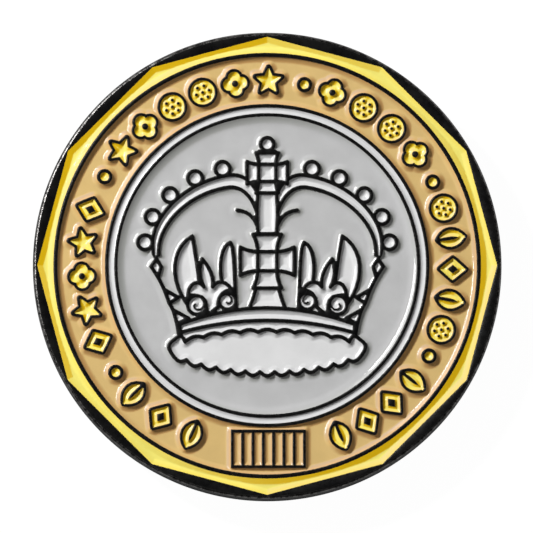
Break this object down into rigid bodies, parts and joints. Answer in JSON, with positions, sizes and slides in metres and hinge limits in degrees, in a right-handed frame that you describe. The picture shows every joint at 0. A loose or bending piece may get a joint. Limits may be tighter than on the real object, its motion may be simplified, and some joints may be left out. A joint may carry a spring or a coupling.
{
  "type": "ball marker",
  "caption": "Large coin golf ball marker: black die-struck metal body with raised lines around inlaid soft-enamel colour fills, crown motif on the face, plain reverse.",
  "frame": {"origin": "centre of the coin at its resting face", "axes": "+Z out of the decorated face, +Y to the top of the crown, +X to the right when the face is read"},
  "size_m": [0.04, 0.04, 0.003],
  "materials": {
    "black_plating": "black nickel plating over steel, satin on the raised lines, fine blasted on the reverse",
    "yellow_enamel": "glossy soft enamel, golden yellow",
    "tan_enamel": "glossy soft enamel, warm tan",
    "grey_enamel": "glossy soft enamel, light grey",
    "pale_enamel": "glossy soft enamel, very pale grey"
  },
  "bodies": {
    "root": {"coin_body": "black_plating", "border_enamel": "yellow_enamel", "band_enamel": "tan_enamel", "ring_enamel": "pale_enamel", "field_enamel": "grey_enamel", "cap_enamel": "grey_enamel", "pearls_enamel": "pale_enamel", "arches_enamel": "pale_enamel", "side_crosses_enamel": "pale_enamel", "tall_leaves_enamel": "pale_enamel", "fleurons_enamel": "pale_enamel", "scrolls_enamel": "pale_enamel", "column_enamel": "pale_enamel", "upper_cross_enamel": "pale_enamel", "lower_cross_enamel": "pale_enamel", "finial_enamel": "pale_enamel", "circlet_enamel": "pale_enamel", "fur_trim_enamel": "pale_enamel", "ornaments_1_enamel": "yellow_enamel", "ornaments_2_enamel": "yellow_enamel", "ornaments_3_enamel": "yellow_enamel", "ornaments_4_enamel": "yellow_enamel", "ornaments_5_enamel": "yellow_enamel", "ornaments_6_enamel": "yellow_enamel", "stops_enamel": "yellow_enamel", "grille_enamel": "tan_enamel"}
  },
  "joints": []
}
